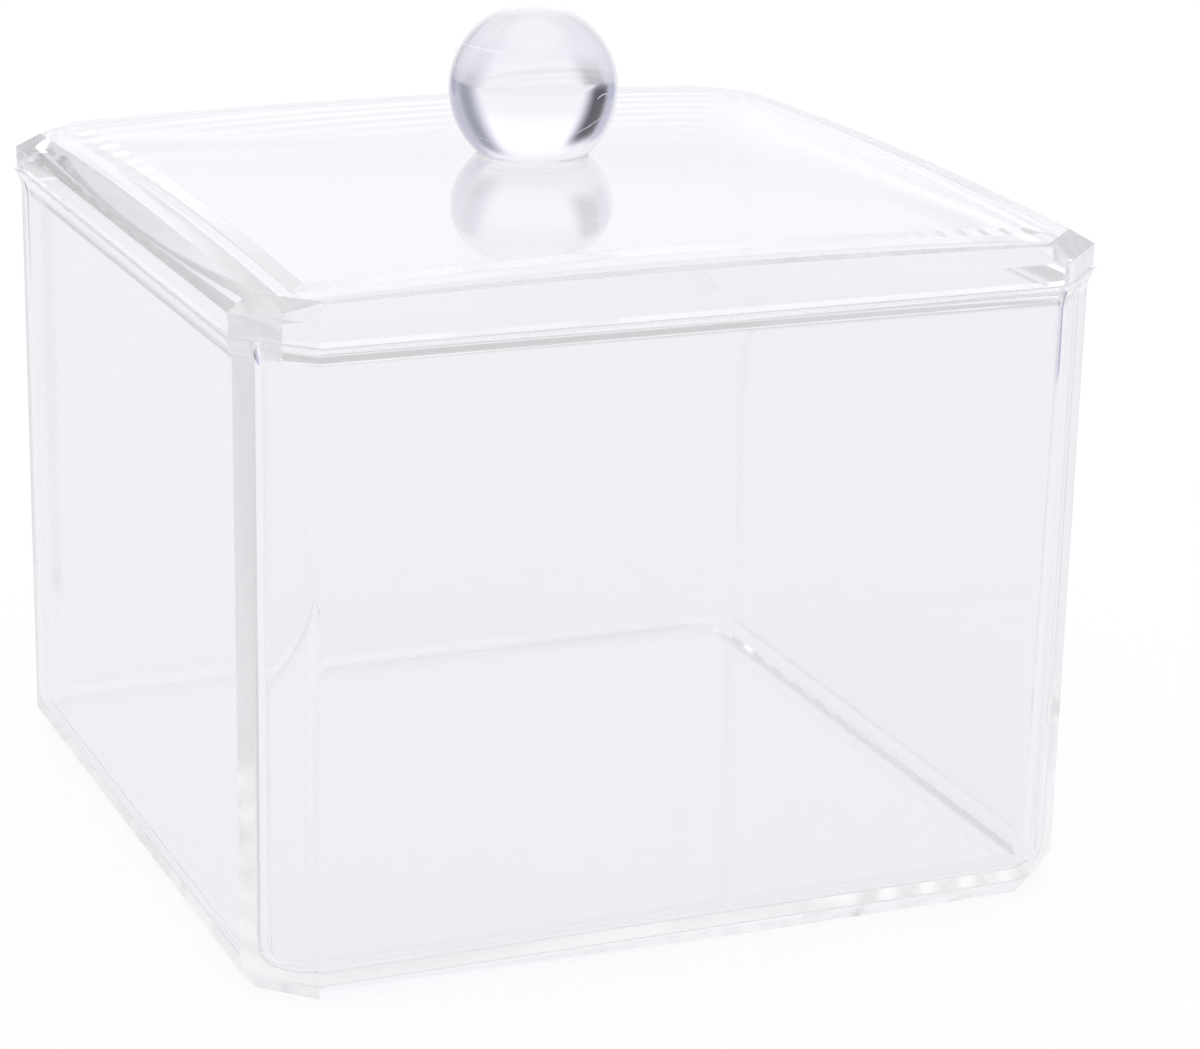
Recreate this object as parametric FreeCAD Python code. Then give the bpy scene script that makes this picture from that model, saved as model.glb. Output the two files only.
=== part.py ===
import FreeCAD, Part
import math
import os

# Clear moulded square canister with cut corners, a lift-off crowned lid and a ball knob.
# Millimetres. Origin: middle of the base, on the surface it stands on. +Z up, front faces -Y.

# ---- driving dimensions -------------------------------------------------------------
# box
box_height = 67.2              # ground to rim
rim_half = 47.0                # half the width across the flats, at the rim
rim_corner_leg = 7.07          # leg of the 45 degree corner cut, at the rim
cove_run = 0.85                # how far the rim stands out from the wall
cove_rise = 2.5                # height of the hollow flare under the rim
wall_half_low = 45.9           # outside of the wall, at the top of the base bevel
base_bevel_run = 1.75
base_bevel_rise = 2.24
wall_thick_rim = 2.5
wall_thick_base = 2.7          # the walls are drafted, so they thicken downwards
floor_thick = 2.2
cavity_corner_radius = 5.0
cavity_floor_radius = 2.4

# lid
lid_half = 46.6
lid_band_height = 2.4          # upright band above the rim
lid_bevel_run = 2.5            # band to arris, in plan
lid_arris_rise = 1.5           # band to arris, at the corners
lid_arris_arch = 0.75          # how much higher the arris is half way along a side
lid_crown_height = 6.85        # rim plane to the top of the crown
lid_plate_thick = 2.5
rib_clearance = 0.45           # locating rib to the inside of the box, on each side
rib_thick = 2.0
rib_drop = 2.0

# knob
ball_radius = 9.07
ball_centre_rise = 6.85        # knob foot to ball centre
neck_radius = 6.1
neck_fillet = 0.8
land_radius = 6.4              # flat land on the crown, under the knob
land_depth = 0.05
cement_radius = 5.9
cement_thick = 0.12

# ---- derived ------------------------------------------------------------------------
LEG_PER_OFFSET = 2 - math.sqrt(2)   # a cut corner's leg shrinks by this per mm of inward offset
OVER = 5.0                          # how far a cutting solid runs past what it cuts

cove_bottom = box_height - cove_rise
wall_half_top = rim_half - cove_run
wall_leg_top = rim_corner_leg - LEG_PER_OFFSET * cove_run
corner_face = 2 * wall_half_top - wall_leg_top      # the corner faces stand upright
wall_leg_low = 2 * wall_half_low - corner_face
base_half = wall_half_low - base_bevel_run
base_leg = wall_leg_low - LEG_PER_OFFSET * base_bevel_run
cove_radius = (cove_run ** 2 + cove_rise ** 2) / (2 * cove_run)
cavity_half_top = wall_half_top - wall_thick_rim
cavity_half_low = wall_half_low - wall_thick_base

lid_leg = rim_corner_leg - LEG_PER_OFFSET * (rim_half - lid_half)
band_top = box_height + lid_band_height
arris_half = lid_half - lid_bevel_run
arris_leg = lid_leg - LEG_PER_OFFSET * lid_bevel_run
arris_low = band_top + lid_arris_rise
crown_top = box_height + lid_crown_height
land_top = crown_top - land_depth
rib_half = cavity_half_top - rib_clearance
rib_radius = cavity_corner_radius - rib_clearance
rib_bottom = box_height - rib_drop
recess_half = rib_half - rib_thick
recess_radius = rib_radius - rib_thick
cement_top = land_top + cement_thick
ball_centre = cement_top + ball_centre_rise


def vec(x, y, z):
    return FreeCAD.Vector(x, y, z)


def octagon(half, leg, z):
    # Corners of a square with cut corners, counter-clockwise seen from above.
    near = half - leg
    return [
        vec(-near, -half, z), vec(near, -half, z),
        vec(half, -near, z), vec(half, near, z),
        vec(near, half, z), vec(-near, half, z),
        vec(-half, near, z), vec(-half, -near, z),
    ]


def square(half, z):
    return [vec(-half, -half, z), vec(half, -half, z), vec(half, half, z), vec(-half, half, z)]


def polygon_face(points):
    return Part.Face(Part.makePolygon(points + [points[0]]))


def frustum(low, high):
    # Solid between two level outlines with the same number of corners.
    faces = [polygon_face(low[::-1]), polygon_face(high)]
    for i in range(len(low)):
        j = (i + 1) % len(low)
        faces.append(polygon_face([low[i], low[j], high[j], high[i]]))
    return Part.makeSolid(Part.makeShell(faces))


def upright_edges(solid):
    return [e for e in solid.Edges if abs(e.tangentAt(e.FirstParameter).z) > 0.9]


def edges_at(solid, z):
    return [e for e in solid.Edges if all(abs(v.Z - z) < 1e-6 for v in e.Vertexes)]


def rounded_frustum(half_low, half_high, z_low, z_high, radius):
    solid = frustum(square(half_low, z_low), square(half_high, z_high))
    return solid.makeFillet(radius, upright_edges(solid))


# ---- box ----------------------------------------------------------------------------
def cove_cutter(distance):
    # Round bar that hollows the flare under the rim on the -Y side, at this distance out.
    length = 4 * rim_half
    start = vec(-length / 2, -(distance + cove_radius), cove_bottom)
    return Part.makeCylinder(cove_radius, length, start, vec(1, 0, 0))


def rim_flare():
    flare = frustum(
        octagon(rim_half, rim_corner_leg, cove_bottom),
        octagon(rim_half, rim_corner_leg, box_height),
    )
    for i in range(8):
        flat = i % 2 == 0
        distance = wall_half_top if flat else corner_face / math.sqrt(2)
        cutter = cove_cutter(distance)
        cutter.rotate(vec(0, 0, 0), vec(0, 0, 1), 45 * i)
        flare = flare.cut(cutter)
    return flare


def box_outside():
    bevel = frustum(
        octagon(base_half, base_leg, 0),
        octagon(wall_half_low, wall_leg_low, base_bevel_rise),
    )
    walls = frustum(
        octagon(wall_half_low, wall_leg_low, base_bevel_rise),
        octagon(wall_half_top, wall_leg_top, cove_bottom),
    )
    return bevel.fuse([walls, rim_flare()]).removeSplitter()


def box_cavity():
    slope = (cavity_half_top - cavity_half_low) / (box_height - floor_thick)
    half_over = cavity_half_top + slope * OVER
    cavity = rounded_frustum(
        cavity_half_low, half_over, floor_thick, box_height + OVER, cavity_corner_radius
    )
    return cavity.makeFillet(cavity_floor_radius, edges_at(cavity, floor_thick))


def make_box_body():
    return box_outside().cut(box_cavity())


# ---- lid ----------------------------------------------------------------------------
def crown_patch(drop):
    # Cushion surface, lowered by drop: level crest in the middle, arched along every side.
    reach = lid_half
    ratio = (arris_half / reach) ** 2
    near_ratio = ((arris_half - arris_leg) / reach) ** 2
    arris_mid = arris_low + lid_arris_arch
    sag = (crown_top - arris_mid) / ratio
    twist = (sag * near_ratio - lid_arris_arch) / (ratio * near_ratio)
    z_mid = crown_top - drop
    z_side = z_mid - sag
    z_corner = z_mid - 2 * sag + twist
    # A quadratic Bezier through end, middle and end heights has its middle pole here.
    edge_pole = 2 * z_side - z_corner
    centre_row = 2 * z_mid - z_side
    centre_pole = 2 * centre_row - edge_pole
    heights = [
        [z_corner, edge_pole, z_corner],
        [edge_pole, centre_pole, edge_pole],
        [z_corner, edge_pole, z_corner],
    ]
    patch = Part.BezierSurface()
    patch.increase(2, 2)
    for i in range(3):
        for j in range(3):
            patch.setPole(i + 1, j + 1, vec((i - 1) * reach, (j - 1) * reach, heights[i][j]))
    return patch.toShape()


def ruled(low_a, low_b, top_edge):
    # Bevel face between a straight band edge and the arched arris above it.
    ends = [v.Point for v in top_edge.Vertexes]
    first, last = ends[0], ends[-1]
    if (first - low_a).Length > (last - low_a).Length:
        low_a, low_b = low_b, low_a
    return Part.makeRuledSurface(Part.makeLine(low_a, low_b), top_edge)


def lid_outside():
    prism = frustum(
        octagon(arris_half, arris_leg, box_height),
        octagon(arris_half, arris_leg, crown_top + OVER),
    )
    top = crown_patch(0).common(prism).Faces[0]
    low = octagon(lid_half, lid_leg, box_height)
    high = octagon(lid_half, lid_leg, band_top)
    inner = octagon(arris_half, arris_leg, band_top)
    faces = [top, polygon_face(low)]
    for i in range(8):
        j = (i + 1) % 8
        faces.append(polygon_face([low[i], low[j], high[j], high[i]]))
        middle = (inner[i] + inner[j]) * 0.5
        edge = min(top.Edges, key=lambda e: plan_gap(e, middle))
        faces.append(ruled(high[i], high[j], edge))
    shell = Part.makeShell(faces)
    shell.sewShape()
    blank = Part.makeSolid(shell)
    return blank if blank.Volume > 0 else blank.reversed()


def plan_gap(edge, point):
    centre = edge.valueAt((edge.FirstParameter + edge.LastParameter) / 2)
    return math.hypot(centre.x - point.x, centre.y - point.y)


def lid_rib():
    return rounded_frustum(rib_half, rib_half, rib_bottom, band_top, rib_radius)


def lid_recess():
    well = rounded_frustum(
        recess_half, recess_half, rib_bottom - OVER, crown_top + OVER, recess_radius
    )
    under = crown_patch(lid_plate_thick).extrude(vec(0, 0, -4 * OVER))
    return well.common(under)


def knob_land():
    return Part.makeCylinder(land_radius, OVER, vec(0, 0, land_top))


def make_lid():
    blank = lid_outside().fuse(lid_rib())
    return blank.cut([lid_recess(), knob_land()]).removeSplitter()


# ---- knob ---------------------------------------------------------------------------
def make_knob_cement():
    return Part.makeCylinder(cement_radius, cement_thick, vec(0, 0, land_top))


def arc_point(centre, radius, other, share):
    # Point on a circle in the XZ plane, share of the way round from "other" to straight up.
    start = math.atan2(other.z - centre.z, other.x - centre.x)
    angle = start + share * (math.pi / 2 - start)
    return centre + vec(radius * math.cos(angle), 0, radius * math.sin(angle))


def knob_profile():
    # Foot, small hollow where it spreads into the foot, then the ball; all in the XZ plane.
    ball = vec(0, 0, ball_centre)
    hollow_x = neck_radius + neck_fillet
    hollow_fall = math.sqrt((ball_radius + neck_fillet) ** 2 - hollow_x ** 2)
    hollow = vec(hollow_x, 0, ball_centre - hollow_fall)
    touch = ball + (hollow - ball) * (ball_radius / (ball_radius + neck_fillet))
    foot_x = hollow_x - math.sqrt(neck_fillet ** 2 - (cement_top - hollow.z) ** 2)
    foot = vec(foot_x, 0, cement_top)
    chord_middle = (foot + touch) * 0.5
    inward = (chord_middle - hollow).normalize()
    hollow_middle = hollow + inward * neck_fillet
    top = ball + vec(0, 0, ball_radius)
    heel = vec(0, 0, cement_top)
    return Part.Wire([
        Part.makeLine(heel, foot),
        Part.Arc(foot, hollow_middle, touch).toShape(),
        Part.Arc(touch, arc_point(ball, ball_radius, touch, 0.5), top).toShape(),
        Part.makeLine(top, heel),
    ])


def make_ball_knob():
    return Part.Face(knob_profile()).revolve(vec(0, 0, 0), vec(0, 0, 1), 360)


# ---- export -------------------------------------------------------------------------
NODES = {
    "box_body": make_box_body,
    "lid": make_lid,
    "knob_cement": make_knob_cement,
    "ball_knob": make_ball_knob,
}

os.makedirs("parts", exist_ok=True)
for name, make in NODES.items():
    shape = make().Solids[0]
    shape.exportStep("parts/" + name + ".step")
    print(name, "valid", shape.isValid(), "volume", round(shape.Volume, 1), shape.ShapeType)
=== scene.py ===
# %% [markdown]
# # A clear moulded canister with a lift-off lid
# The real object is a square box of clear plastic with cut corners, a loose lid with a crowned
# top, and a ball knob cemented on the lid. The solids are already right in size, but they arrive
# as loose flat triangles, and a clear part shows every facet. They could be merged and smoothed,
# but long thin triangles bend what is seen through them. So each solid is modelled again here with
# even, smooth surfaces, in metres, in the same place, and hides the solid it stands for.

# %% Load the frame
import math

import bpy
from mathutils import Matrix, Vector


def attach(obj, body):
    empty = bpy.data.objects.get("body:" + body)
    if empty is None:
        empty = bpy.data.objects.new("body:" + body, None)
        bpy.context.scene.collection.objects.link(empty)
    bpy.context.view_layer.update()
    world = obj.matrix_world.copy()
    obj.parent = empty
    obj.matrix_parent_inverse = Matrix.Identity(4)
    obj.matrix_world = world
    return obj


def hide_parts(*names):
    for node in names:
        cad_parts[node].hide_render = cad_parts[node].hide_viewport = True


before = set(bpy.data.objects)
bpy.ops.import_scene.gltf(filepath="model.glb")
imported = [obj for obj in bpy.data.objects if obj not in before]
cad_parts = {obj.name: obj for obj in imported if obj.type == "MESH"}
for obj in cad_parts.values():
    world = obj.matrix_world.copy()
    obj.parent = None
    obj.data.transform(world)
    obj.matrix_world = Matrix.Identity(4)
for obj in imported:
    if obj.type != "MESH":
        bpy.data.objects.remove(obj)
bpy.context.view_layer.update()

# %% [markdown]
# Operators act on whatever is selected, and the solids arrive selected. By hand one would click on
# edges and faces. A script could name them by number, but the numbers change with every step, so
# here they are picked by place. One helper clears the selection, and the other selects the
# vertices, edges or faces whose middles pass a test, and leaves the piece in edit mode.

# %% Selecting by place
MM = 0.001
ON_THE_LINE = 0.002 * MM


def deselect():
    if bpy.context.mode != "OBJECT":
        bpy.ops.object.mode_set(mode="OBJECT")
    bpy.ops.object.select_all(action="DESELECT")


def pick(piece, kind, test):
    if bpy.context.mode != "OBJECT":
        bpy.ops.object.mode_set(mode="OBJECT")
    mesh = piece.data
    spots = [v.co for v in mesh.vertices]
    groups = {"VERT": mesh.vertices, "EDGE": mesh.edges, "FACE": mesh.polygons}
    for group in groups.values():
        group.foreach_set("select", [False] * len(group))
    for item in groups[kind]:
        corners = [spots[item.index]] if kind == "VERT" else [spots[i] for i in item.vertices]
        item.select = bool(test(sum(corners, Vector()) / len(corners)))
    bpy.context.tool_settings.mesh_select_mode = [name == kind for name in groups]
    bpy.ops.object.mode_set(mode="EDIT")


def near(value, target, slack=ON_THE_LINE):
    return abs(value - target) < slack


print("a place counts as met within", ON_THE_LINE / MM, "mm")

# %% [markdown]
# Every level outline of the box and the lid is an octagon: a square with its corners cut at 45
# degrees, as the mould was cut. It could be a square with bevelled corners, but a circle of eight
# corners has them all from the start. Two scalings shape it, one for the corners nearer the left
# and right sides and one for those nearer the front and back.

# %% Octagon outline
EIGHTH = math.radians(22.5)


def started(name):
    # Names the new primitive, and moves its place and size into its mesh.
    piece = bpy.context.object
    piece.name = name
    piece.data.name = name
    bpy.ops.object.transform_apply(location=True, rotation=True, scale=True)
    return piece


def scale_corners(piece, level, x_side, y_side):
    # x_side and y_side are the (x, y) scales for corners nearer the x sides and the y sides.
    for wide, scale in ((True, x_side), (False, y_side)):
        pick(piece, "VERT", lambda p: near(p.z, level) and (abs(p.x) > abs(p.y)) == wide)
        bpy.ops.transform.resize(value=(scale[0], scale[1], 1), center_override=(0, 0, level))
    bpy.ops.object.mode_set(mode="OBJECT")


def octagon(name, half, leg, level):
    deselect()
    bpy.ops.mesh.primitive_circle_add(
        vertices=8, radius=half, fill_type="NGON", location=(0, 0, level), rotation=(0, 0, EIGHTH)
    )
    piece = started(name)
    far = 1 / math.cos(EIGHTH)
    close = (half - leg) / (half * math.sin(EIGHTH))
    scale_corners(piece, level, (far, close), (close, far))
    return piece


print("corners start", math.degrees(EIGHTH), "degrees off the axes")

# %% [markdown]
# The box's outside has a hollow flare under the rim, a wall with a slight draft so that it leaves
# the mould, and a bevel round the base. It could be a tall prism cut by bevels, but the cuts would
# depend on each other. Here it is laid from the rim down: an inset shrinks the bottom face by the
# same amount on all eight sides and drops it at once, so each inset lays one ring of wall. Eight
# small rings make the flare, one the wall and one the bevel.

# %% Box, outside
BOX_HEIGHT = 67.2 * MM
RIM_HALF = 47.0 * MM
RIM_LEG = 7.07 * MM
COVE_RUN = 0.85 * MM
COVE_RISE = 2.5 * MM
COVE_STEPS = 8
WALL_HALF_LOW = 45.9 * MM
BEVEL_RUN = 1.75 * MM
BEVEL_RISE = 2.24 * MM

wall_half_top = RIM_HALF - COVE_RUN
cove_radius = (COVE_RUN**2 + COVE_RISE**2) / (2 * COVE_RUN)


def inset_down(run, drop):
    bpy.ops.mesh.inset(thickness=run, depth=drop, use_even_offset=True, use_boundary=True)


def cove_offset(rise):
    # How far the flare stands out of the wall at this height above its foot.
    return cove_radius - math.sqrt(cove_radius**2 - rise**2)


box = octagon("box_shell", RIM_HALF, RIM_LEG, BOX_HEIGHT)
pick(box, "FACE", lambda p: True)
bpy.ops.mesh.flip_normals()
for step in range(COVE_STEPS):
    high = COVE_RISE * (COVE_STEPS - step) / COVE_STEPS
    low = COVE_RISE * (COVE_STEPS - step - 1) / COVE_STEPS
    inset_down(cove_offset(high) - cove_offset(low), high - low)
inset_down(wall_half_top - WALL_HALF_LOW, BOX_HEIGHT - COVE_RISE - BEVEL_RISE)
inset_down(BEVEL_RUN, BEVEL_RISE)
bpy.ops.object.mode_set(mode="OBJECT")
print("outside", len(box.data.polygons), "faces, foot at", min(v.co.z for v in box.data.vertices))

# %% [markdown]
# The cut corners of the real box stand upright, although its four walls lean out towards the rim.
# An even inset leans the corners too. They could be cut off again with planes, but it is simpler to
# slide the corners of the two lowest outlines along the walls until each corner face is plumb.

# %% Box, plumb corners
LEG_PER_OFFSET = 2 - math.sqrt(2)  # a corner leg shrinks this much per unit that its outline does

wall_leg_top = RIM_LEG - LEG_PER_OFFSET * COVE_RUN
wall_leg_low = 2 * WALL_HALF_LOW - (2 * wall_half_top - wall_leg_top)
drafted_leg = wall_leg_top - LEG_PER_OFFSET * (wall_half_top - WALL_HALF_LOW)
slid = (WALL_HALF_LOW - wall_leg_low) / (WALL_HALF_LOW - drafted_leg)
scale_corners(box, BEVEL_RISE, (1, slid), (slid, 1))
base_half = WALL_HALF_LOW - BEVEL_RUN
base_leg = wall_leg_low - LEG_PER_OFFSET * BEVEL_RUN
slid = (base_half - base_leg) / (base_half - drafted_leg + LEG_PER_OFFSET * BEVEL_RUN)
scale_corners(box, 0, (1, slid), (slid, 1))
print("corner legs: rim", RIM_LEG, "wall foot", wall_leg_low, "base", base_leg)

# %% [markdown]
# Inside, the box is one open space with round corners and a rounded floor edge, because a square
# core would stick in the mould. It could be cut out with a boolean, but that leaves ragged
# triangles, which clear plastic shows. So the cavity is a cube turned inside out: its floor is a
# little smaller for the draft, its upright edges are bevelled round, then the edge round the floor.

# %% Box, cavity
WALL_AT_RIM = 2.5 * MM
WALL_AT_BASE = 2.7 * MM
FLOOR_THICK = 2.2 * MM
CAVITY_CORNER = 5.0 * MM
CAVITY_FLOOR_EDGE = 2.4 * MM
CORNER_SEGMENTS = 12
FLOOR_EDGE_SEGMENTS = 10
ON_THE_DIAGONAL = 0.01 * MM

cavity_half = wall_half_top - WALL_AT_RIM
cavity_half_low = WALL_HALF_LOW - WALL_AT_BASE


def open_cube(name, half, low, high, cut_ends):
    # A square sleeve; cut_ends are the levels of the ends that are taken off.
    deselect()
    bpy.ops.mesh.primitive_cube_add(
        size=1, location=(0, 0, (low + high) / 2), scale=(2 * half, 2 * half, high - low)
    )
    piece = started(name)
    pick(piece, "FACE", lambda p: any(near(p.z, end) for end in cut_ends))
    bpy.ops.mesh.delete(type="FACE")
    return piece


def round_uprights(piece, radius):
    levels = [v.co.z for v in piece.data.vertices]
    middle = (max(levels) + min(levels)) / 2
    pick(piece, "EDGE", lambda p: near(p.z, middle) and near(abs(p.x), abs(p.y), ON_THE_DIAGONAL))
    bpy.ops.mesh.bevel(offset=radius, segments=CORNER_SEGMENTS, profile=0.5, affect="EDGES")


cavity = open_cube("cavity", cavity_half, FLOOR_THICK, BOX_HEIGHT, [BOX_HEIGHT])
pick(cavity, "FACE", lambda p: near(p.z, FLOOR_THICK))
draft = cavity_half_low / cavity_half
bpy.ops.transform.resize(value=(draft, draft, 1), center_override=(0, 0, FLOOR_THICK))
round_uprights(cavity, CAVITY_CORNER)
pick(cavity, "EDGE", lambda p: near(p.z, FLOOR_THICK))
bpy.ops.mesh.bevel(
    offset=CAVITY_FLOOR_EDGE, segments=FLOOR_EDGE_SEGMENTS, profile=0.5, affect="EDGES"
)
bpy.ops.mesh.select_all(action="SELECT")
bpy.ops.mesh.flip_normals()
print("cavity", len(cavity.data.polygons), "faces")

# %% [markdown]
# The rim is the flat ring between inside and outside. Its two outlines have different numbers of
# corners, which a bridge would join in fans, so the ring is filled instead. Smooth shading alone
# would make the big walls look bent next to the small rounds: a modifier that weighs the normals
# by face size keeps the walls optically flat, as a polished mould leaves them.

# %% Box, rim and normals
SMOOTH_BELOW = math.radians(20)
SAME_POINT = 0.001 * MM
LARGE_FACES_WIN = 100


def join(pieces):
    deselect()
    for piece in pieces:
        piece.select_set(True)
    bpy.context.view_layer.objects.active = pieces[0]
    bpy.ops.object.join()
    return pieces[0]


def fill_level(piece, level):
    pick(piece, "EDGE", lambda p: near(p.z, level))
    bpy.ops.mesh.fill(use_beauty=True)


def finish_mesh(piece):
    pick(piece, "VERT", lambda p: True)
    bpy.ops.mesh.remove_doubles(threshold=SAME_POINT)
    bpy.ops.mesh.normals_make_consistent(inside=False)
    deselect()
    piece.select_set(True)
    bpy.context.view_layer.objects.active = piece
    bpy.ops.object.shade_smooth_by_angle(angle=SMOOTH_BELOW)
    weigh = piece.modifiers.new("keep_flats_flat", "WEIGHTED_NORMAL")
    weigh.keep_sharp = True
    weigh.weight = LARGE_FACES_WIN
    bpy.ops.object.modifier_apply(modifier=weigh.name)
    faces_at = {}
    for face in piece.data.polygons:
        for key in face.edge_keys:
            faces_at[key] = faces_at.get(key, 0) + 1
    loose = sum(1 for count in faces_at.values() if count != 2)
    print(piece.name, len(piece.data.polygons), "faces,", loose, "edges not closed")


box = join([box, cavity])
fill_level(box, BOX_HEIGHT)
finish_mesh(box)

# %% [markdown]
# The lid's top is a cushion: highest in the middle, with all four edges arched. Its plan is laid
# out first. An octagon fan would pinch in the middle, so it is a grid of nine flat patches whose
# four corner patches are cut to triangles, and every patch can be divided evenly later.

# %% Lid, plan
LID_HALF = 46.6 * MM
LID_BAND = 2.4 * MM
LID_BEVEL_RUN = 2.5 * MM
ARRIS_RISE = 1.5 * MM

band_top = BOX_HEIGHT + LID_BAND
lid_leg = RIM_LEG - LEG_PER_OFFSET * (RIM_HALF - LID_HALF)
arris_half = LID_HALF - LID_BEVEL_RUN
arris_leg = lid_leg - LEG_PER_OFFSET * LID_BEVEL_RUN
arris_near = arris_half - arris_leg
arris_low = band_top + ARRIS_RISE

deselect()
bpy.ops.mesh.primitive_grid_add(
    x_subdivisions=3, y_subdivisions=3, size=2 * arris_half, location=(0, 0, arris_low)
)
lid = started("lid_panel")
third = arris_half / 3
pick(lid, "VERT", lambda p: near(abs(p.x), third))
bpy.ops.transform.resize(value=(arris_near / third, 1, 1), center_override=(0, 0, 0))
pick(lid, "VERT", lambda p: near(abs(p.y), third))
bpy.ops.transform.resize(value=(1, arris_near / third, 1), center_override=(0, 0, 0))
pick(lid, "VERT", lambda p: abs(p.x) > arris_near + MM and abs(p.y) > arris_near + MM)
bpy.ops.mesh.delete(type="VERT")
for sx in (-1, 1):
    for sy in (-1, 1):
        pick(lid, "VERT", lambda p: sx * p.x > arris_near - MM and sy * p.y > arris_near - MM)
        bpy.ops.mesh.edge_face_add()
bpy.ops.object.mode_set(mode="OBJECT")
print("lid plan", len(lid.data.vertices), "corners,", len(lid.data.polygons), "patches")

# %% [markdown]
# Three heights fix the cushion: the crown in the middle, the arris at the corners, and the arch of
# the arris between them. Sculpting by hand would miss them, so a formula gives the height at every
# point: a dome over the square, with a twist term that brings its corners to the arris.

# %% Lid, cushion
ARRIS_ARCH = 0.75 * MM
CROWN_RISE = 6.85 * MM

crown_top = BOX_HEIGHT + CROWN_RISE


def cushion(x, y):
    # Height of the lid's top surface, from the arris heights and the crown height.
    side = 1 / (arris_half**2)
    corner = (arris_near / arris_half) ** 2
    sag = crown_top - arris_low - ARRIS_ARCH
    twist = (sag * corner - ARRIS_ARCH) / corner
    u, v = x * x * side, y * y * side
    return crown_top - sag * (u + v) + twist * u * v


print("crown at", crown_top, "arris from", arris_low, "to", arris_low + ARRIS_ARCH)

# %% [markdown]
# On the cushion a square panel stands a hair proud, with a fine step round it. Cutting a step into
# the mesh would crease the smooth top, so the panel is one more height, greatest along its own
# edge. Outside the arris the height falls in a straight line to the top of the upright band.

# %% Lid, panel and bevel
LID_CUTS = 31
PANEL_RISE = 0.2 * MM
PANEL_FOOT_STEPS = 11
ON_THE_ARRIS = 0.9999

panel_half = arris_near
panel_foot = panel_half + (arris_half - arris_near) * PANEL_FOOT_STEPS / (LID_CUTS + 1)


def raised(x, y):
    # 1 along the edge of the raised panel, falling to 0 at its foot and at the lid's middle.
    reach = max(abs(x), abs(y))
    if reach > panel_half:
        return max(0.0, (panel_foot - reach) / (panel_foot - panel_half))
    u, v = (x / panel_half) ** 2, (y / panel_half) ** 2
    return u + v - u * v


def bevel_share(x, y):
    # 0 on the upright band, 1 on the arris and inside it.
    flat = LID_HALF - max(abs(x), abs(y))
    cut = (2 * LID_HALF - lid_leg - abs(x) - abs(y)) / math.sqrt(2)
    return min(1.0, flat / LID_BEVEL_RUN, cut / LID_BEVEL_RUN)


def lid_top_height(x, y):
    share = bevel_share(x, y)
    if share > ON_THE_ARRIS:
        return cushion(x, y) + PANEL_RISE * raised(x, y)
    shrink = 1 - LID_BEVEL_RUN * (1 - share) / LID_HALF
    return band_top + share * (cushion(x * shrink, y * shrink) - band_top)


print("panel from", panel_half, "to its foot at", panel_foot)

# %% [markdown]
# Below the arris the real lid has a plain bevel and then an upright band. The bevel operator would
# need the arched edge to be there already, so both are extruded from the plan's outline. Between
# the two extrusions everything is subdivided, and each vertex is lifted to its height. The middle
# is cut off level, for the flat on which the knob is cemented.

# %% Lid, bevel, cushion and band
SEAT_GAP = 0.03 * MM
LAND_DEPTH = 0.05 * MM

lid_bottom = BOX_HEIGHT + SEAT_GAP
land_top = crown_top - LAND_DEPTH


def on_arris(p):
    # True for a point on the octagon outline of the cushion.
    cut = abs(p.x) + abs(p.y) > arris_half + arris_near - ON_THE_DIAGONAL
    return near(abs(p.x), arris_half) or near(abs(p.y), arris_half) or cut


pick(lid, "EDGE", on_arris)
bpy.ops.mesh.extrude_region_move(TRANSFORM_OT_translate={"value": (0, 0, -ARRIS_RISE)})
bpy.ops.object.mode_set(mode="OBJECT")
out = LID_HALF / arris_half
along = (LID_HALF - lid_leg) / arris_near
scale_corners(lid, band_top, (out, along), (along, out))
pick(lid, "FACE", lambda p: True)
bpy.ops.mesh.subdivide(number_cuts=LID_CUTS)
bpy.ops.object.mode_set(mode="OBJECT")
for vertex in lid.data.vertices:
    vertex.co.z = min(land_top, lid_top_height(vertex.co.x, vertex.co.y))
pick(lid, "EDGE", lambda p: near(p.z, band_top, SAME_POINT))
bpy.ops.mesh.extrude_region_move(TRANSFORM_OT_translate={"value": (0, 0, lid_bottom - band_top)})
bpy.ops.object.mode_set(mode="OBJECT")
print("lid top", len(lid.data.polygons), "faces, flat at", max(v.co.z for v in lid.data.vertices))

# %% [markdown]
# Under the real lid a locating rib drops inside the box, and the panel is hollowed so that the
# plastic is evenly thick and doesn't sink as it cools. A solidify modifier would give the even
# wall but no rib. So the hollow's ceiling is a grid lifted to the same cushion shape, its edge is
# extruded to the foot of the rib, and the rib's outside is another rounded sleeve. The lid's lower
# edge gets a small round, because a sharp one draws a hard line that a moulded edge lacks.

# %% Lid, underside
PLATE_THICK = 2.5 * MM
RIB_CLEARANCE = 0.45 * MM
RIB_THICK = 2.0 * MM
RIB_DROP = 2.0 * MM
CEILING_CELLS = 48
JOINT_ROUND = 0.15 * MM
ROUND_SEGMENTS = 3

rib_half = cavity_half - RIB_CLEARANCE
rib_foot = BOX_HEIGHT - RIB_DROP
recess_half = rib_half - RIB_THICK


def round_outline(piece, level, half, leg):
    # Rounds the sharp edge along the octagon outline at this height.
    def on_outline(p):
        flat = near(max(abs(p.x), abs(p.y)), half, SAME_POINT)
        return near(p.z, level) and (flat or near(abs(p.x) + abs(p.y), 2 * half - leg, SAME_POINT))

    pick(piece, "EDGE", on_outline)
    bpy.ops.mesh.bevel(offset=JOINT_ROUND, segments=ROUND_SEGMENTS, profile=0.5, affect="EDGES")


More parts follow.
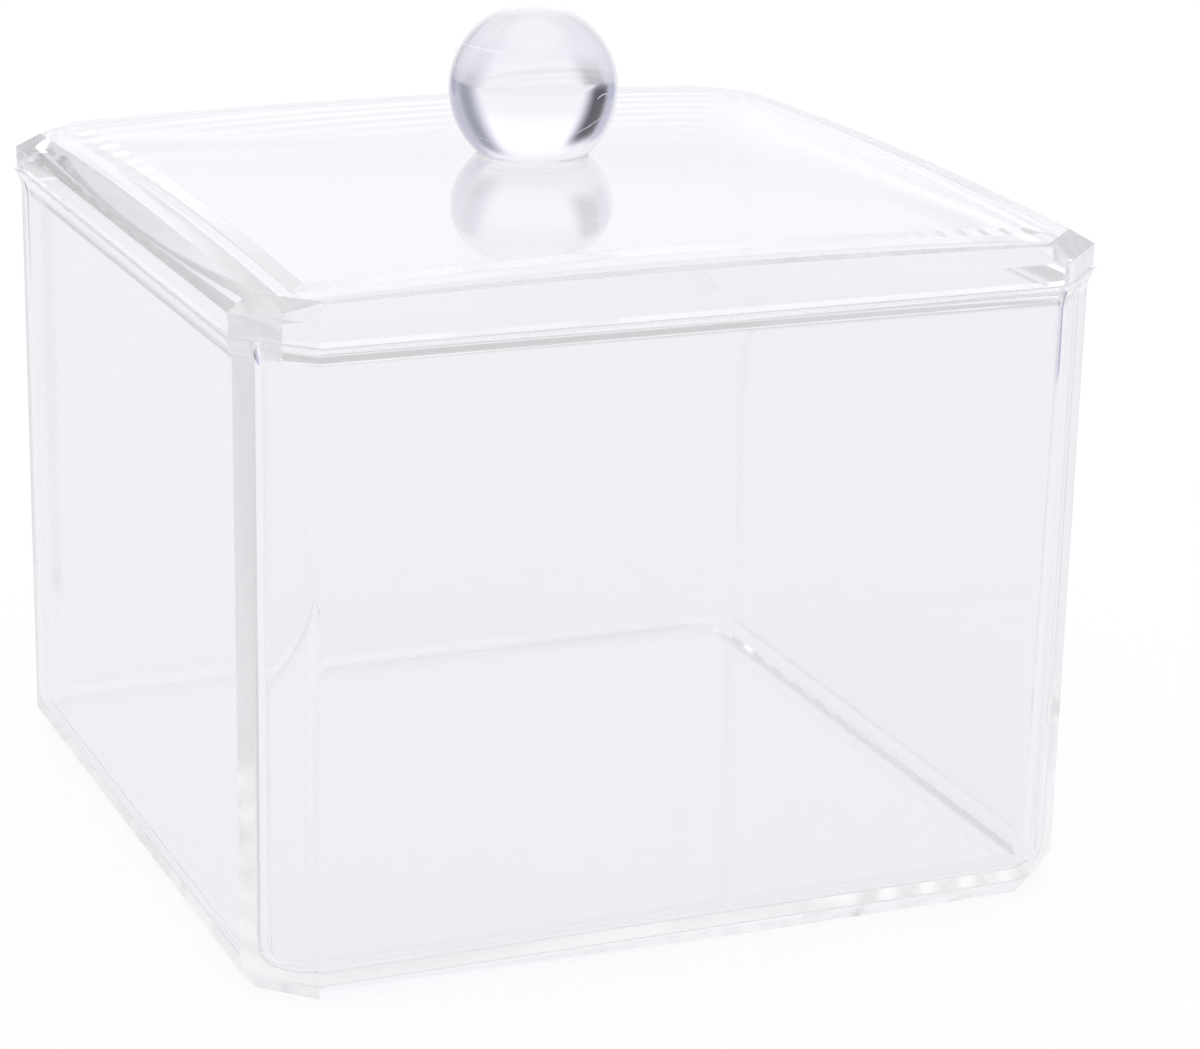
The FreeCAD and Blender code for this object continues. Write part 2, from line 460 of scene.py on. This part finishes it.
deselect()
bpy.ops.mesh.primitive_grid_add(
    x_subdivisions=CEILING_CELLS, y_subdivisions=CEILING_CELLS,
    size=2 * recess_half, location=(0, 0, BOX_HEIGHT),
)
ceiling = started("ceiling")
for vertex in ceiling.data.vertices:
    vertex.co.z = cushion(vertex.co.x, vertex.co.y) - PLATE_THICK
pick(ceiling, "EDGE", lambda p: near(abs(p.x), recess_half) or near(abs(p.y), recess_half))
bpy.ops.mesh.extrude_region_move(TRANSFORM_OT_translate={"value": (0, 0, 0)})
bpy.ops.transform.resize(value=(1, 1, 0), center_override=(0, 0, rib_foot))
bpy.ops.object.mode_set(mode="OBJECT")
rib = open_cube("rib", rib_half, rib_foot, lid_bottom, [rib_foot, lid_bottom])
round_uprights(rib, CAVITY_CORNER - RIB_CLEARANCE)
lid = join([lid, ceiling, rib])
fill_level(lid, rib_foot)
fill_level(lid, lid_bottom)
round_outline(lid, lid_bottom, LID_HALF, lid_leg)
finish_mesh(lid)

# %% [markdown]
# The knob is one cast ball, polished, that spreads through a small hollow into a flat foot. It
# could be spun from its outline, but every ring of the ball would have to be worked out. A sphere
# has its fine even rings already, and they keep the view through the ball clean, so it is only cut
# level just above its foot.

# %% Knob, ball
BALL_RADIUS = 9.07 * MM
BALL_RISE = 6.85 * MM
BALL_SEGMENTS = 128
BALL_RINGS = 96
NECK_RADIUS = 6.1 * MM
NECK_FILLET = 0.8 * MM
CEMENT_THICK = 0.12 * MM

knob_foot = land_top + CEMENT_THICK
ball_centre = knob_foot + BALL_RISE
hollow_x = NECK_RADIUS + NECK_FILLET
hollow_z = ball_centre - math.sqrt((BALL_RADIUS + NECK_FILLET) ** 2 - hollow_x**2)
touch_share = BALL_RADIUS / (BALL_RADIUS + NECK_FILLET)
touch_z = ball_centre + (hollow_z - ball_centre) * touch_share

deselect()
bpy.ops.mesh.primitive_uv_sphere_add(
    segments=BALL_SEGMENTS, ring_count=BALL_RINGS, radius=BALL_RADIUS, location=(0, 0, ball_centre)
)
knob = started("knob_ball")
pick(knob, "FACE", lambda p: True)
bpy.ops.mesh.bisect(
    plane_co=(0, 0, touch_z), plane_no=(0, 0, 1), clear_inner=True, threshold=SAME_POINT
)
bpy.ops.object.mode_set(mode="OBJECT")
print("ball", len(knob.data.polygons), "faces, cut at", touch_z)

# %% [markdown]
# The ball doesn't meet the lid at a sharp angle: a hollow less than a millimetre in radius leads
# its side down into the foot. A bevel would need the foot to be there first, so the ball's open
# edge is extruded and scaled down the curve of the hollow, ring by ring, and then closed.

# %% Knob, neck
NECK_STEPS = 8
OPTICAL_GAP = 0.01 * MM


def neck_radius_at(z):
    return hollow_x - math.sqrt(NECK_FILLET**2 - (z - hollow_z) ** 2)


pick(knob, "EDGE", lambda p: near(p.z, touch_z))
level = touch_z
radius = math.sqrt(BALL_RADIUS**2 - (touch_z - ball_centre) ** 2)
for step in range(1, NECK_STEPS + 1):
    lower = touch_z + (knob_foot + OPTICAL_GAP - touch_z) * step / NECK_STEPS
    narrower = neck_radius_at(lower)
    bpy.ops.mesh.extrude_region_move(TRANSFORM_OT_translate={"value": (0, 0, lower - level)})
    squeeze = narrower / radius
    bpy.ops.transform.resize(value=(squeeze, squeeze, 1), center_override=(0, 0, lower))
    level, radius = lower, narrower
bpy.ops.mesh.edge_face_add()
finish_mesh(knob)

# %% [markdown]
# A thin film of clear cement holds the knob on the lid. It could be left out as too thin to see,
# but its bright ring shows at the neck. A low cylinder with rounded rims is what a squeezed drop
# sets to. A hundredth of a millimetre of air above it keeps two clear surfaces from lying in the
# same place, which the renderer can't tell apart.

# %% Cement film
CEMENT_RADIUS = 5.9 * MM
FILM_SEGMENTS = 96
FILM_ROUND = 0.03 * MM

film_thick = CEMENT_THICK - OPTICAL_GAP
film_middle = land_top + CEMENT_THICK / 2 + OPTICAL_GAP / 2

deselect()
bpy.ops.mesh.primitive_cylinder_add(
    vertices=FILM_SEGMENTS, radius=CEMENT_RADIUS, depth=film_thick, location=(0, 0, film_middle)
)
cement = started("cement_film")
pick(cement, "EDGE", lambda p: p.xy.length > CEMENT_RADIUS / 2 and not near(p.z, film_middle))
bpy.ops.mesh.bevel(offset=FILM_ROUND, segments=ROUND_SEGMENTS, profile=0.5, affect="EDGES")
finish_mesh(cement)

# %% [markdown]
# Materials and light are trees of nodes. Trees clicked together by hand are hard to read again, so
# one small function adds a node, sets it up and links it, and each tree reads from top to bottom.
# Colours are written as the hex values that a paint program shows, and one function turns them
# into the linear values that the renderer works in.

# %% Adding nodes


def linear(code):
    channels = [int(code[i:i + 2], 16) / 255 for i in (1, 3, 5)]
    return [c / 12.92 if c <= 0.04045 else ((c + 0.055) / 1.055) ** 2.4 for c in channels] + [1.0]


def add(tree, kind, inputs=(), **settings):
    # Inputs are a list in the node's own order, or a dictionary by name or number. Each is a value,
    # an output of another node, or a node, which stands for its first output.
    node = tree.nodes.new(kind)
    for name, value in settings.items():
        setattr(node, name, value)
    for socket, source in inputs.items() if isinstance(inputs, dict) else enumerate(inputs):
        if isinstance(source, bpy.types.Node):
            source = source.outputs[0]
        if isinstance(source, bpy.types.NodeSocket):
            tree.links.new(source, node.inputs[socket])
        else:
            node.inputs[socket].default_value = source
    return node


print("mid grey is", linear("#808080")[0], "in linear light")

# %% [markdown]
# The box and the lid are injection-moulded acrylic. It bends light by its index of 1.49, so its
# edges mirror and its faces are nearly invisible. A tinted surface would be the quick way to grey
# its thick edges, but it would grey the thin walls as well: absorption inside the solid takes
# light only from long paths. A faint haze, and a ripple a few thousandths of a millimetre deep
# from the flow of the melt, keep the edges from drawing hard dashes. The knob is cast and buffed,
# which leaves a softer polish, so the patches in it are blurred.

# %% Clear acrylic
ACRYLIC_INDEX = 1.49
ABSORPTION = 0.5
ABSORBED_TINT = "#606458"
MOULD_HAZE = 0.05
KNOB_HAZE = 0.11
RIPPLE_DETAIL = 2.0


def clear_plastic(name, body_colour, haze, ripple_size, ripple_depth):
    material = bpy.data.materials.new(name)
    material.use_nodes = True
    tree = material.node_tree
    shader = tree.nodes["Principled BSDF"]
    shader.inputs["Base Color"].default_value = linear(body_colour)
    shader.inputs["Transmission Weight"].default_value = 1.0
    shader.inputs["Roughness"].default_value = haze
    shader.inputs["IOR"].default_value = ACRYLIC_INDEX
    place = add(tree, "ShaderNodeTexCoord").outputs["Object"]
    ripple = add(tree, "ShaderNodeTexNoise", {
        "Vector": place, "Scale": 1 / ripple_size, "Detail": RIPPLE_DETAIL})
    bump = add(tree, "ShaderNodeBump", {
        "Height": ripple.outputs["Fac"], "Strength": 1.0, "Distance": ripple_depth})
    tree.links.new(bump.outputs["Normal"], shader.inputs["Normal"])
    depth = add(tree, "ShaderNodeVolumeAbsorption", {
        "Color": linear(ABSORBED_TINT), "Density": ABSORPTION})
    tree.links.new(depth.outputs["Volume"], tree.nodes["Material Output"].inputs["Volume"])
    return material


def dress(piece, material):
    piece.data.materials.clear()
    piece.data.materials.append(material)
    print(piece.name, "is", material.name)


box_acrylic = clear_plastic("moulded_clear_acrylic_box", "#FDFDFE", MOULD_HAZE, 14 * MM, 0.002 * MM)
lid_acrylic = clear_plastic("moulded_clear_acrylic_lid", "#FDFDFE", MOULD_HAZE, 9 * MM, 0.002 * MM)
knob_acrylic = clear_plastic("polished_clear_acrylic_knob", "#FCFCFE", KNOB_HAZE, 6 * MM, 0.001 * MM)
dress(box, box_acrylic)
dress(lid, lid_acrylic)
dress(knob, knob_acrylic)
dress(cement, lid_acrylic)

# %% [markdown]
# Handling has left a few hairline scratches on the ball. They could be cut into the mesh, but they
# are far finer than its faces, so the material draws them. A scratch is an arc along which a plane
# cuts the ball. Along it the surface is ground white: it scatters light instead of letting it
# through. Real ones are hundredths of a millimetre wide and are drawn as coarse as they need to show.

# %% Hairline scratches on the knob
SCRATCH_WIDTH = 0.13 * MM
SCRATCH_EDGE = (0.3, 0.7)  # from full to none, in shares of the width
SCRATCH_END = (0.85, 1.15)  # from full to none, in shares of half the length
SCRATCH_WHITE = 0.95
SCRATCH_ROUGHNESS = 0.5
SCRATCHES = (
    # where its middle lies: degrees to the right of the front, degrees above the ball's waist;
    # how it runs: degrees of slope, degrees of bend; length in millimetres
    (-76, 34, 1, 27, 7.5),
    (-104, 18, 3, 0, 2.9),
    (32, 3, 8, -77, 1.9),
    (25, -16, 24, -9, 4.8),
    (-69, -28, -9, -32, 3.3),
)


def scratch_mask(tree, place, azimuth, rise, slope, bend, length):
    # 1 on the line, 0 beside it and past its ends. A bent line comes from a plane that leans
    # outward, and its width is kept as measured along the surface.
    azimuth, rise, slope, bend = (math.radians(a) for a in (azimuth, rise, slope, bend))
    turn = Matrix.Rotation(azimuth, 3, "Z") @ Matrix.Rotation(-rise, 3, "X")
    outward = turn @ Vector((0, -1, 0))
    side = turn @ Vector((-math.sin(slope), 0, math.cos(slope)))
    cut = side * math.cos(bend) + outward * math.sin(bend)
    middle = Vector((0, 0, ball_centre)) + outward * BALL_RADIUS
    edge = [share * SCRATCH_WIDTH * math.cos(bend) for share in SCRATCH_EDGE]
    end = [share * length * MM / 2 for share in SCRATCH_END]
    away = add(tree, "ShaderNodeVectorMath", [place, middle], operation="SUBTRACT")
    across = add(tree, "ShaderNodeVectorMath", [away, cut], operation="DOT_PRODUCT")
    across = add(tree, "ShaderNodeMath", [across.outputs["Value"]], operation="ABSOLUTE")
    along = add(tree, "ShaderNodeVectorMath", [away], operation="LENGTH").outputs["Value"]
    line = add(tree, "ShaderNodeMapRange", [across, *edge, 1.0, 0.0], interpolation_type="SMOOTHSTEP")
    ends = add(tree, "ShaderNodeMapRange", [along, *end, 1.0, 0.0], interpolation_type="SMOOTHSTEP")
    return add(tree, "ShaderNodeMath", [line, ends], operation="MULTIPLY")


tree = knob_acrylic.node_tree
place = add(tree, "ShaderNodeTexCoord").outputs["Object"]
scratched = 0.0
for scratch in SCRATCHES:
    mask = scratch_mask(tree, place, *scratch)
    scratched = add(tree, "ShaderNodeMath", [scratched, mask], operation="MAXIMUM")
clear = add(tree, "ShaderNodeMapRange", [scratched, 0.0, 1.0, 1.0, 1.0 - SCRATCH_WHITE])
rough = add(tree, "ShaderNodeMapRange", [scratched, 0.0, 1.0, KNOB_HAZE, SCRATCH_ROUGHNESS])
shader = tree.nodes["Principled BSDF"]
tree.links.new(clear.outputs[0], shader.inputs["Transmission Weight"])
tree.links.new(rough.outputs[0], shader.inputs["Roughness"])
print(len(SCRATCHES), "scratches,", len(tree.nodes), "nodes in the knob's material")

# %% [markdown]
# On the real object the lid, the cement and the knob lift off together, and the box stays. Parent
# links could say so, but the frame knows its bodies by name: each piece rides on one and hides the
# solid it stands for. The slot of the record is listed beside it, but nothing here reads it.

# %% Bodies, slots and the solids they stand for
for piece, body, slot, node in (
    (box, "box", "box_plastic", "box_body"),
    (lid, "lid", "lid_plastic", "lid"),
    (knob, "lid", "knob_plastic", "ball_knob"),
    (cement, "lid", "cement", "knob_cement"),
):
    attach(piece, body)
    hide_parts(node)
    print(piece.name, "rides on", body, "and stands for", node)

# %% [markdown]
# The camera stands a little to the left of the front and above the lid, with a long lens that
# keeps the box's upright edges nearly upright. It could be aimed by a tracking constraint, but that
# can't hold the slight roll, so its three axes are worked out from its yaw, pitch and roll.

# %% Camera
CAMERA_PLACE = (-144.5 * MM, -357.2 * MM, 154.5 * MM)
CAMERA_YAW = math.radians(23.24)
CAMERA_PITCH = math.radians(17.61)
CAMERA_ROLL = math.radians(1.29)
CAMERA_LENS = 109.26
CAMERA_SENSOR = 36.0
CAMERA_NEAREST = 10 * MM

forward = Vector((
    math.sin(CAMERA_YAW) * math.cos(CAMERA_PITCH),
    math.cos(CAMERA_YAW) * math.cos(CAMERA_PITCH),
    -math.sin(CAMERA_PITCH),
))
level_right = Vector((math.cos(CAMERA_YAW), -math.sin(CAMERA_YAW), 0))
level_up = level_right.cross(forward)
right = math.cos(CAMERA_ROLL) * level_right + math.sin(CAMERA_ROLL) * level_up
up = math.cos(CAMERA_ROLL) * level_up - math.sin(CAMERA_ROLL) * level_right
camera = bpy.data.objects.new("camera", bpy.data.cameras.new("camera"))
bpy.context.scene.collection.objects.link(camera)
camera.data.sensor_width = CAMERA_SENSOR
camera.data.lens = CAMERA_LENS
camera.data.clip_start = CAMERA_NEAREST
columns = Matrix((right, up, -forward)).transposed().to_4x4()
camera.matrix_world = Matrix.Translation(CAMERA_PLACE) @ columns
bpy.context.scene.camera = camera
print("camera", tuple(round(c, 4) for c in camera.location))

# %% [markdown]
# Clear plastic shows nothing but its surroundings, so the light is half of its look. The object
# stands in a white tent: bright behind and overhead, and a little darker where the camera stands.
# Area lamps would show as hard shapes in the ball, so the tent is the world itself. Its light is
# worked out from the direction looked in: the turn away from the camera's own direction, and the
# height above the horizon.

# %% Tent, directions
world = bpy.data.worlds.new("tent")
bpy.context.scene.world = world
world.use_nodes = True
tent = world.node_tree
tent.nodes.clear()
direction = add(tent, "ShaderNodeTexCoord").outputs["Generated"]
parts = add(tent, "ShaderNodeSeparateXYZ", [direction])
height = add(tent, "ShaderNodeMath", [parts.outputs["Z"]], operation="ARCSINE")
turn = add(tent, "ShaderNodeMath", [parts.outputs["X"], parts.outputs["Y"]], operation="ARCTAN2")
turn = add(tent, "ShaderNodeMath", [turn, CAMERA_YAW], operation="SUBTRACT")
turn = add(tent, "ShaderNodeMath", [turn, math.pi, -math.pi], operation="WRAP")
print("turn is counted from", round(math.degrees(CAMERA_YAW), 2), "degrees right of straight back")

# %% [markdown]
# The tent's cloth is not equally bright all round. A hard-edged patch would show in the ball, so
# each part fades into the next: a bright backdrop, a brighter top under the lamps, and a darker
# side where the camera takes the place of the cloth.

# %% Tent, bright and plain cloth
CAMERA_SIDE = (100, 140)  # degrees of turn over which the light falls off
CAMERA_SIDE_LIGHT = 0.85
BACKDROP = (-24, 24, 6, 4, 26, 6)  # turn from, to, softness; height from, to, softness (degrees)
BACKDROP_LIGHT = 1.15
OVERHEAD = (40, 75)  # degrees of height over which the light rises
OVERHEAD_LIGHT = 2.3


def inside(tree, angle, low, high, soft):
    # 1 where the angle lies between low and high (degrees), fading to 0 at both ends.
    low, high, soft = (math.radians(a) for a in (low, high, soft))
    rise = add(tree, "ShaderNodeMapRange", [angle, low - soft, low + soft, 0.0, 1.0],
               interpolation_type="SMOOTHSTEP")
    fall = add(tree, "ShaderNodeMapRange", [angle, high - soft, high + soft, 1.0, 0.0],
               interpolation_type="SMOOTHSTEP")
    return add(tree, "ShaderNodeMath", [rise, fall], operation="MULTIPLY")


aside = add(tent, "ShaderNodeMath", [turn], operation="ABSOLUTE")
start, stop = (math.radians(a) for a in CAMERA_SIDE)
light = add(tent, "ShaderNodeMapRange", [aside, start, stop, 1.0, CAMERA_SIDE_LIGHT],
            interpolation_type="SMOOTHSTEP")
behind = add(tent, "ShaderNodeMath", [
    inside(tent, turn, *BACKDROP[:3]), inside(tent, height, *BACKDROP[3:])], operation="MULTIPLY")
light = add(tent, "ShaderNodeMath", [behind, BACKDROP_LIGHT - 1, light], operation="MULTIPLY_ADD")
start, stop = (math.radians(a) for a in OVERHEAD)
overhead = add(tent, "ShaderNodeMapRange", [height, start, stop, 0.0, OVERHEAD_LIGHT],
               interpolation_type="SMOOTHSTEP")
light = add(tent, "ShaderNodeMath", [light, overhead], operation="MAXIMUM")
print("plain tent", len(tent.nodes), "nodes")

# %% [markdown]
# Beside the bright backdrop the tent has two dim gaps, each with a dark part and a fainter one
# further out. They draw the dark flanks of the ball and the grey edges. Black cards would do the
# same, but they would cut hard lines into every edge: a real moulding scatters light that is led
# far inside it. So only rays that have met few surfaces see the gaps, and the camera doesn't,
# because behind the object there is only white.

# %% Tent, the dim gaps
GAPS = (
    # turn from, to, softness, height from, to, softness (degrees), how dark
    (29, 48, 8, -14, 31, 5, 0.62),
    (48, 110, 7, -30, 50, 5, 0.40),
    (-49, -29, 6, -12, 21, 5, 0.94),
    (-68, -49, 7, -30, 26, 5, 0.36),
)
GAP_LEAN = 0.35  # degrees of turn that a gap leans in for each degree of height
SHALLOW_DEPTH = 5.5
FEW_MIRRORS = 1.5


def dimmed(tree, light, where, share):
    # Takes this share of the light away where `where` is 1.
    kept = add(tree, "ShaderNodeMapRange", [where, 0.0, 1.0, 1.0, 1.0 - share])
    return add(tree, "ShaderNodeMath", [light, kept], operation="MULTIPLY")


seen = add(tent, "ShaderNodeLightPath")
shallow = add(tent, "ShaderNodeMath", [
    seen.outputs["Ray Depth"], SHALLOW_DEPTH], operation="LESS_THAN")
few = add(tent, "ShaderNodeMath", [
    seen.outputs["Glossy Depth"], FEW_MIRRORS], operation="LESS_THAN")
direct = add(tent, "ShaderNodeMath", [shallow, few], operation="MULTIPLY")
shade = 0.0
for start, stop, turn_soft, lowest, highest, height_soft, dark in GAPS:
    lean = math.copysign(GAP_LEAN, start)
    leaned = add(tent, "ShaderNodeMath", [height, lean, turn], operation="MULTIPLY_ADD")
    gap = add(tent, "ShaderNodeMath", [
        inside(tent, leaned, start, stop, turn_soft),
        inside(tent, height, lowest, highest, height_soft)], operation="MULTIPLY")
    gap = add(tent, "ShaderNodeMath", [gap, direct], operation="MULTIPLY")
    shade = add(tent, "ShaderNodeMath", [shade, gap], operation="MAXIMUM")
    light = dimmed(tent, light, gap, dark)
camera_sees = seen.outputs["Is Camera Ray"]
shade = dimmed(tent, shade, camera_sees, 1.0)
print("gaps", len(GAPS), "and now", len(tent.nodes), "nodes")

# %% [markdown]
# Two more rules stand in for what real paper and plastic do. What is seen through a few surfaces
# near the horizon is the far end of the paper, which is a little dimmer and greys the bevels.
# Light that has met ten surfaces or more has been led along a wall, and the plastic evens it out.
# The object could be given real scattering inside, but that would take hours to render.

# %% Tent, horizon and guided light
DIRECT_DEPTH = 3.5
NO_MIRROR = 0.5
HORIZON = (-9, 6, 3)  # height from, to, softness (degrees)
HORIZON_DIM = 0.36
GUIDED_DEPTH = 9.5
GUIDED_LIGHT = ((14, 1.08), (44, 0.86))  # surfaces met and the light left, near and far


def passed_through(tree, seen):
    # 1 for light that has met a few surfaces of the plastic and no mirror.
    met = add(tree, "ShaderNodeMath", [
        seen.outputs["Ray Depth"], DIRECT_DEPTH], operation="GREATER_THAN")
    plain = add(tree, "ShaderNodeMath", [
        seen.outputs["Glossy Depth"], NO_MIRROR], operation="LESS_THAN")
    return add(tree, "ShaderNodeMath", [met, plain], operation="MULTIPLY")


def guided_far(tree, seen):
    # 1 for light that has been led along a wall.
    return add(tree, "ShaderNodeMath", [
        seen.outputs["Ray Depth"], GUIDED_DEPTH], operation="GREATER_THAN")


line = add(tent, "ShaderNodeMath", [
    inside(tent, height, *HORIZON), passed_through(tent, seen)], operation="MULTIPLY")
light = dimmed(tent, light, line, HORIZON_DIM)
guided = guided_far(tent, seen)
(short, bright), (long, dim) = GUIDED_LIGHT
even = add(tent, "ShaderNodeMapRange", [seen.outputs["Ray Depth"], short, long, bright, dim],
           interpolation_type="SMOOTHSTEP")
light = add(tent, "ShaderNodeMix", {0: guided, 2: light, 3: even})
print("horizon and guided light, now", len(tent.nodes), "nodes")

# %% [markdown]
# White cloth under lamps is a touch cool, the gaps are bluer, and light from the far paper or from
# inside a wall is nearly neutral. One colour for all would lose the cool dark flanks of the ball.
# The colours are kept apart from the light's strength, so that each can be set by itself, and the
# camera always sees plain white behind the object.

# %% Tent, colours
CAMERA_WHITE = 1.04
TENT_WHITE = "#FBFAFF"
GAP_SHADE = "#E2E3FF"
GUIDED_SHADE = "#FFFFFF"
HORIZON_SHADE = "#FAFBF7"

white = add(tent, "ShaderNodeMath", [camera_sees, CAMERA_WHITE], operation="MULTIPLY")
light = add(tent, "ShaderNodeMath", [light, white], operation="MAXIMUM")
colour = linear(TENT_WHITE)
for where, shade_code in ((shade, GAP_SHADE), (line, HORIZON_SHADE), (guided, GUIDED_SHADE)):
    mixed = add(tent, "ShaderNodeMix", {0: where, 6: colour, 7: linear(shade_code)}, data_type="RGBA")
    colour = mixed.outputs[2]
glow = add(tent, "ShaderNodeBackground", {"Color": colour, "Strength": light})
add(tent, "ShaderNodeOutputWorld", [glow])
print("tent", len(tent.nodes), "nodes")

# %% [markdown]
# The object stands on a sheet of matt white paper that runs towards the tent's backdrop. It could
# curve up behind, but the tent is white there already, so one flat sheet turned to the camera is
# enough. It lies a hair below the base, so that the two surfaces don't fight for the same place.

# %% Sweep, the sheet
SWEEP_WIDTH = 0.5
SWEEP_LENGTH = 1.2

deselect()
bpy.ops.mesh.primitive_plane_add(
    size=1, location=(0, 0, -SEAT_GAP), rotation=(0, 0, -CAMERA_YAW)
)
sweep = bpy.context.object
sweep.scale = (SWEEP_WIDTH, SWEEP_LENGTH, 1)
sweep = started("white_sweep")
print("sheet", SWEEP_WIDTH, "by", SWEEP_LENGTH, "m")

# %% [markdown]
# Plain matt white would do under an opaque object. Under clear plastic the paper also has to glow
# as evenly as the tent, or the walls turn grey. So rays that come from the camera or through the
# plastic see mostly its own white light, and the rest keeps the object's shadow. The paper seen
# through the walls is faintly violet: the plastic itself is clear. Far from the object its glow, as
# seen through the plastic, is dimmed and turned neutral: painted shade for the back of the sweep.

# %% Sweep, the paper
PAPER_WHITE = "#F9F9FA"
PAPER_THROUGH_PLASTIC = "#F4F2F6"
PAPER_TO_CAMERA = "#FFFFFF"
PAPER_ROUGHNESS = 0.9
PAPER_GLOW = 0.92
# Painted shade: over these distances the paper's glow, seen through the plastic, dims to far paper.
FAR_PAPER_SHADE = (0.28, 0.42)  # metres from the object over which the paper turns to far paper

paper = bpy.data.materials.new("matt_white_paper")
paper.use_nodes = True
sheet = paper.node_tree
matt = sheet.nodes["Principled BSDF"]
matt.inputs["Base Color"].default_value = linear(PAPER_WHITE)
matt.inputs["Roughness"].default_value = PAPER_ROUGHNESS
matt.inputs["Specular IOR Level"].default_value = 0.0
seen = add(sheet, "ShaderNodeLightPath")
camera_sees = seen.outputs["Is Camera Ray"]
sees = add(sheet, "ShaderNodeMath", [
    seen.outputs["Is Transmission Ray"], seen.outputs["Is Glossy Ray"]], operation="MAXIMUM")
sees = add(sheet, "ShaderNodeMath", [sees, camera_sees], operation="MAXIMUM")
tint = add(sheet, "ShaderNodeMix", {
    0: camera_sees, 6: linear(PAPER_THROUGH_PLASTIC), 7: linear(PAPER_TO_CAMERA)}, data_type="RGBA")
# Painted shade: far from the object the glow seen through the plastic is dimmed and tinted neutral.
place = add(sheet, "ShaderNodeTexCoord").outputs["Object"]
reach = add(sheet, "ShaderNodeVectorMath", [place], operation="LENGTH").outputs["Value"]
far = add(sheet, "ShaderNodeMapRange", [reach, *FAR_PAPER_SHADE, 0.0, 1.0],
          interpolation_type="SMOOTHSTEP")
far = add(sheet, "ShaderNodeMath", [far, passed_through(sheet, seen)], operation="MULTIPLY")
far = dimmed(sheet, far, guided_far(sheet, seen), 1.0)
strength = dimmed(sheet, 1.0, far, HORIZON_DIM)
tint = add(sheet, "ShaderNodeMix", {
    0: far, 6: tint.outputs[2], 7: linear(HORIZON_SHADE)}, data_type="RGBA")
white = add(sheet, "ShaderNodeEmission", {"Color": tint.outputs[2], "Strength": strength})
share = add(sheet, "ShaderNodeMath", [sees, PAPER_GLOW], operation="MULTIPLY")
blend = add(sheet, "ShaderNodeMixShader", [share, matt, white])
sheet.links.new(blend.outputs[0], sheet.nodes["Material Output"].inputs["Surface"])
dress(sweep, paper)

# %% [markdown]
# Light that enters the edge of a clear wall is led along it by dozens of reflections. The usual
# twelve bounces would turn the cut corners black, so the renderer follows many more.

# %% Render settings that belong to the object
BOUNCES = 160

scene = bpy.context.scene
scene.view_settings.view_transform = "Standard"
scene.cycles.max_bounces = BOUNCES
scene.cycles.transmission_bounces = BOUNCES
scene.cycles.glossy_bounces = BOUNCES
scene.cycles.use_denoising = True
print("up to", scene.cycles.max_bounces, "bounces")
